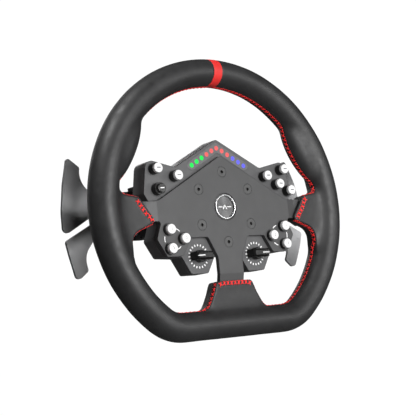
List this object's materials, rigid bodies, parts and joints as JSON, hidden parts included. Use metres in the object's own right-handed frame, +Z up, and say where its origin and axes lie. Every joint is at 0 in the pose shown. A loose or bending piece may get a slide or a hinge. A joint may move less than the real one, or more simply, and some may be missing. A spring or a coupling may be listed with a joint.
{
  "type": "racing wheel",
  "caption": "D-shaped stitched racing wheel with a flat hub plate, illuminated shift strip, push buttons, rotary dials, rear paddles and a ball-lock quick release.",
  "frame": {"origin": "centre of the quick-release socket's rear face, where the wheel meets its shaft", "axes": "+Z up with the wheel straight ahead, -Y towards the driver, +Y along the shaft away from the driver, +X to the driver's right"},
  "size_m": [0.3006, 0.1001, 0.2789],
  "materials": {
    "plate_metal": "fine satin anodised",
    "grip_foam": "moulded polyurethane foam",
    "leather_black": "smooth fine-grain leather, satin",
    "leather_red": "smooth red leather",
    "housing_plastic": "fine texture moulded plastic",
    "smoked_window": "smoked translucent plastic",
    "light_green": "lit lens",
    "light_red": "lit lens",
    "light_blue": "lit lens",
    "circuit_board": "green solder mask",
    "black_steel": "black oxide steel",
    "badge_chrome": "polished",
    "badge_metal": "spun",
    "adapter_metal": "turned",
    "sleeve_black": "black moulded plastic",
    "cap_white": "white moulded plastic",
    "cap_black": "black moulded plastic",
    "encoder_metal": "plated steel",
    "knob_black": "black moulded plastic, satin",
    "base_black": "black anodised",
    "steel": "bright steel",
    "blade_metal": "satin grey anodised",
    "socket_metal": "turned and clear anodised",
    "collar_metal": "black anodised, scalloped"
  },
  "bodies": {
    "wheel": {"badge_disc": "badge_metal", "badge_ring": "badge_chrome", "button_sleeves": "sleeve_black", "centre_stripe": "leather_red", "collar_circlip": "steel", "collar_spring": "steel", "contact_block": "sleeve_black", "front_housing": "housing_plastic", "grip_foam": "grip_foam", "grip_leather": "leather_black", "hinge_pins": "steel", "housing_screws": "black_steel", "hub_adapter": "adapter_metal", "hub_screws": "black_steel", "led_window": "smoked_window", "lights_blue": "light_blue", "lights_green": "light_green", "lights_red": "light_red", "lower_button_rings": "sleeve_black", "main_board": "circuit_board", "paddle_base": "base_black", "paddle_magnets": "steel", "paddle_sensors": "circuit_board", "qr_balls": "steel", "qr_screws": "black_steel", "qr_socket": "socket_metal", "rear_housing": "housing_plastic", "rotary_encoders": "encoder_metal", "tact_switches": "sleeve_black", "wheel_frame": "plate_metal"},
    "button_left_inner": {"button_left_inner": "cap_white"},
    "button_left_outer": {"button_left_outer": "cap_white"},
    "button_right_inner": {"button_right_inner": "cap_white"},
    "button_right_low": {"button_right_low": "cap_white"},
    "button_right_middle": {"button_right_middle": "cap_white"},
    "button_right_outer": {"button_right_outer": "cap_white"},
    "trio_left_lower": {"trio_left_lower": "cap_white"},
    "trio_left_side": {"trio_left_side": "cap_white"},
    "trio_left_upper": {"trio_left_upper": "cap_white"},
    "trio_right_lower": {"trio_right_lower": "cap_white"},
    "trio_right_side": {"trio_right_side": "cap_white"},
    "trio_right_upper": {"trio_right_upper": "cap_white"},
    "button_menu": {"button_menu": "cap_black"},
    "dial_left": {"dial_knob_left": "knob_black", "dial_shaft_left": "encoder_metal"},
    "shift_paddle_left": {"shift_arm_left": "base_black", "shift_blade_left": "blade_metal", "shift_screws_left": "steel"},
    "clutch_paddle_left": {"clutch_arm_left": "base_black", "clutch_blade_left": "blade_metal", "clutch_screws_left": "steel"},
    "dial_right": {"dial_knob_right": "knob_black", "dial_shaft_right": "encoder_metal"},
    "shift_paddle_right": {"shift_arm_right": "base_black", "shift_blade_right": "blade_metal", "shift_screws_right": "steel"},
    "clutch_paddle_right": {"clutch_arm_right": "base_black", "clutch_blade_right": "blade_metal", "clutch_screws_right": "steel"},
    "collar": {"release_collar": "collar_metal"}
  },
  "joints": [
    {"name": "button_left_inner_press", "type": "slide", "parent": "wheel", "child": "button_left_inner", "axis": [0, 1, 0], "range_m": [0, 0.0015], "stiffness_N_per_m": 700, "springref_m": -0.0008},
    {"name": "button_left_outer_press", "type": "slide", "parent": "wheel", "child": "button_left_outer", "axis": [0, 1, 0], "range_m": [0, 0.0015], "stiffness_N_per_m": 700, "springref_m": -0.0008},
    {"name": "button_right_inner_press", "type": "slide", "parent": "wheel", "child": "button_right_inner", "axis": [0, 1, 0], "range_m": [0, 0.0015], "stiffness_N_per_m": 700, "springref_m": -0.0008},
    {"name": "button_right_low_press", "type": "slide", "parent": "wheel", "child": "button_right_low", "axis": [0, 1, 0], "range_m": [0, 0.0015], "stiffness_N_per_m": 700, "springref_m": -0.0008},
    {"name": "button_right_middle_press", "type": "slide", "parent": "wheel", "child": "button_right_middle", "axis": [0, 1, 0], "range_m": [0, 0.0015], "stiffness_N_per_m": 700, "springref_m": -0.0008},
    {"name": "button_right_outer_press", "type": "slide", "parent": "wheel", "child": "button_right_outer", "axis": [0, 1, 0], "range_m": [0, 0.0015], "stiffness_N_per_m": 700, "springref_m": -0.0008},
    {"name": "trio_left_lower_press", "type": "slide", "parent": "wheel", "child": "trio_left_lower", "axis": [0, 1, 0], "range_m": [0, 0.0015], "stiffness_N_per_m": 700, "springref_m": -0.0008},
    {"name": "trio_left_side_press", "type": "slide", "parent": "wheel", "child": "trio_left_side", "axis": [0, 1, 0], "range_m": [0, 0.0015], "stiffness_N_per_m": 700, "springref_m": -0.0008},
    {"name": "trio_left_upper_press", "type": "slide", "parent": "wheel", "child": "trio_left_upper", "axis": [0, 1, 0], "range_m": [0, 0.0015], "stiffness_N_per_m": 700, "springref_m": -0.0008},
    {"name": "trio_right_lower_press", "type": "slide", "parent": "wheel", "child": "trio_right_lower", "axis": [0, 1, 0], "range_m": [0, 0.0015], "stiffness_N_per_m": 700, "springref_m": -0.0008},
    {"name": "trio_right_side_press", "type": "slide", "parent": "wheel", "child": "trio_right_side", "axis": [0, 1, 0], "range_m": [0, 0.0015], "stiffness_N_per_m": 700, "springref_m": -0.0008},
    {"name": "trio_right_upper_press", "type": "slide", "parent": "wheel", "child": "trio_right_upper", "axis": [0, 1, 0], "range_m": [0, 0.0015], "stiffness_N_per_m": 700, "springref_m": -0.0008},
    {"name": "button_menu_press", "type": "slide", "parent": "wheel", "child": "button_menu", "axis": [0, 1, 0], "range_m": [0, 0.0015], "stiffness_N_per_m": 700, "springref_m": -0.0008},
    {"name": "dial_left_turn", "type": "hinge", "parent": "wheel", "child": "dial_left", "pos_m": [-0.0349, -0.088, -0.0475], "axis": [0, 1, 0], "continuous": true},
    {"name": "shift_left_pull", "type": "hinge", "parent": "wheel", "child": "shift_paddle_left", "pos_m": [-0.07, -0.035, 0], "axis": [0, 0, 1], "range_deg": [0, 5], "stiffness_Nm_per_rad": 1.2, "springref_deg": -8.59},
    {"name": "clutch_left_pull", "type": "hinge", "parent": "wheel", "child": "clutch_paddle_left", "pos_m": [-0.07, -0.035, 0], "axis": [0, 0, 1], "range_deg": [0, 12], "stiffness_Nm_per_rad": 0.6, "springref_deg": -8.59},
    {"name": "dial_right_turn", "type": "hinge", "parent": "wheel", "child": "dial_right", "pos_m": [0.0349, -0.088, -0.0475], "axis": [0, 1, 0], "continuous": true},
    {"name": "shift_right_pull", "type": "hinge", "parent": "wheel", "child": "shift_paddle_right", "pos_m": [0.07, -0.035, 0], "axis": [0, 0, -1], "range_deg": [0, 5], "stiffness_Nm_per_rad": 1.2, "springref_deg": -8.59},
    {"name": "clutch_right_pull", "type": "hinge", "parent": "wheel", "child": "clutch_paddle_right", "pos_m": [0.07, -0.035, 0], "axis": [0, 0, -1], "range_deg": [0, 12], "stiffness_Nm_per_rad": 0.6, "springref_deg": -8.59},
    {"name": "collar_slide", "type": "slide", "parent": "wheel", "child": "collar", "axis": [0, 1, 0], "range_m": [-0.007, 0], "stiffness_N_per_m": 900, "springref_m": 0.008, "deforming": ["collar_spring"]}
  ]
}
